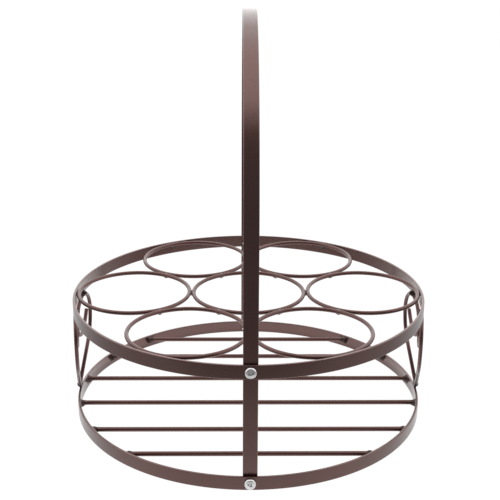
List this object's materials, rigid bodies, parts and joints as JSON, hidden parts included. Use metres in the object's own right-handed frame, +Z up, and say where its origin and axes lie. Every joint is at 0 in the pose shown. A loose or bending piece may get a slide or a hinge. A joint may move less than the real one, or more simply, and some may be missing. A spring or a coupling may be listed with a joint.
{
  "type": "bottle caddy",
  "caption": "Round welded-wire bottle caddy: flat-strip hoops, wire rings over a bar deck, heart scrolls at the sides and a tall arched strap handle.",
  "frame": {"origin": "centre of the circle that the lower hoop stands on", "axes": "+Z up along the axis of both hoops, +Y towards the back along the line between the handle's legs, +X right along the deck wires"},
  "size_m": [0.269, 0.2706, 0.302],
  "materials": {
    "bronze_powder_coat": "dark metallic bronze-brown powder coat, satin, thinner and lighter along the edges",
    "zinc_plate": "bright zinc-plated steel"
  },
  "bodies": {
    "root": {"upper_hoop": "bronze_powder_coat", "lower_hoop": "bronze_powder_coat", "handle_strap": "bronze_powder_coat", "ring_centre": "bronze_powder_coat", "ring_right": "bronze_powder_coat", "ring_back_right": "bronze_powder_coat", "ring_back_left": "bronze_powder_coat", "ring_left": "bronze_powder_coat", "ring_front_left": "bronze_powder_coat", "ring_front_right": "bronze_powder_coat", "deck_bar_1": "bronze_powder_coat", "deck_bar_2": "bronze_powder_coat", "deck_bar_3": "bronze_powder_coat", "deck_bar_4": "bronze_powder_coat", "deck_bar_5": "bronze_powder_coat", "deck_bar_6": "bronze_powder_coat", "scroll_left_front": "bronze_powder_coat", "scroll_left_back": "bronze_powder_coat", "scroll_right_front": "bronze_powder_coat", "scroll_right_back": "bronze_powder_coat", "ring_welds": "bronze_powder_coat", "hoop_welds": "bronze_powder_coat", "deck_welds": "bronze_powder_coat", "scroll_welds": "bronze_powder_coat", "screws": "zinc_plate", "nuts": "zinc_plate"}
  },
  "joints": []
}
